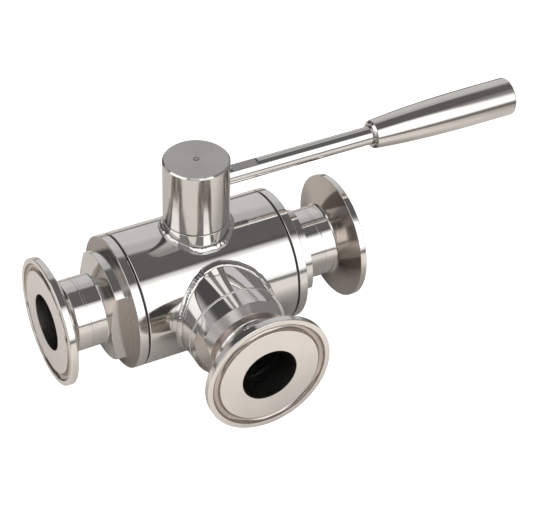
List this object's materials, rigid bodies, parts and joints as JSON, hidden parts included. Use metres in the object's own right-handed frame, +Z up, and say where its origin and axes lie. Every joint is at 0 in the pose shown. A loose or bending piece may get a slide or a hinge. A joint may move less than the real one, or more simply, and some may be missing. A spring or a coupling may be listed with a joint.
{
  "type": "three-way hygienic ball valve",
  "caption": "Polished stainless three-way ball valve with clamp ferrules on its ports and a straight rod lever on a round hub.",
  "frame": {"origin": "centre of the ball, where the axes of the three ports and of the stem meet", "axes": "+X along the straight run towards the right port and along the lever at rest, -Y towards the branch port, +Z up along the stem"},
  "size_m": [0.2019, 0.0891, 0.0833],
  "materials": {
    "polished_steel": "bright polished stainless with a fine turned grain",
    "satin_steel": "satin turned stainless",
    "hub_steel": "mirror-polished sides, satin turned end face",
    "grip_steel": "polished turned stainless",
    "ball_steel": "mirror polished",
    "spring_steel": "plain spring steel",
    "gasket_black": "matte black gasket",
    "seat_white": "white moulded PTFE"
  },
  "bodies": {
    "valve_body": {"body_barrel": "polished_steel", "branch_socket": "polished_steel", "stem_neck": "polished_steel", "left_end_cap": "polished_steel", "right_end_cap": "polished_steel", "branch_end_cap": "polished_steel", "left_ferrule": "satin_steel", "right_ferrule": "satin_steel", "branch_ferrule": "satin_steel", "left_body_gasket": "gasket_black", "right_body_gasket": "gasket_black", "branch_body_gasket": "seat_white", "left_seat": "seat_white", "right_seat": "seat_white", "branch_seat": "seat_white", "rear_seat": "seat_white", "packing_ring_lower": "seat_white", "packing_ring_middle": "seat_white", "packing_ring_upper": "seat_white", "thrust_washer": "seat_white", "gland_follower": "satin_steel", "stop_pin": "spring_steel"},
    "lever_and_ball": {"ball": "ball_steel", "stem": "satin_steel", "spring_washer_lower": "spring_steel", "spring_washer_upper": "spring_steel", "gland_nut": "satin_steel", "handle_hub": "hub_steel", "lever_rod": "hub_steel", "lever_grip": "grip_steel"}
  },
  "joints": [
    {"name": "stem_turn", "type": "hinge", "parent": "valve_body", "child": "lever_and_ball", "pos_m": [0, 0, 0], "axis": [0, 0, 1], "range_deg": [-90, 0]}
  ]
}
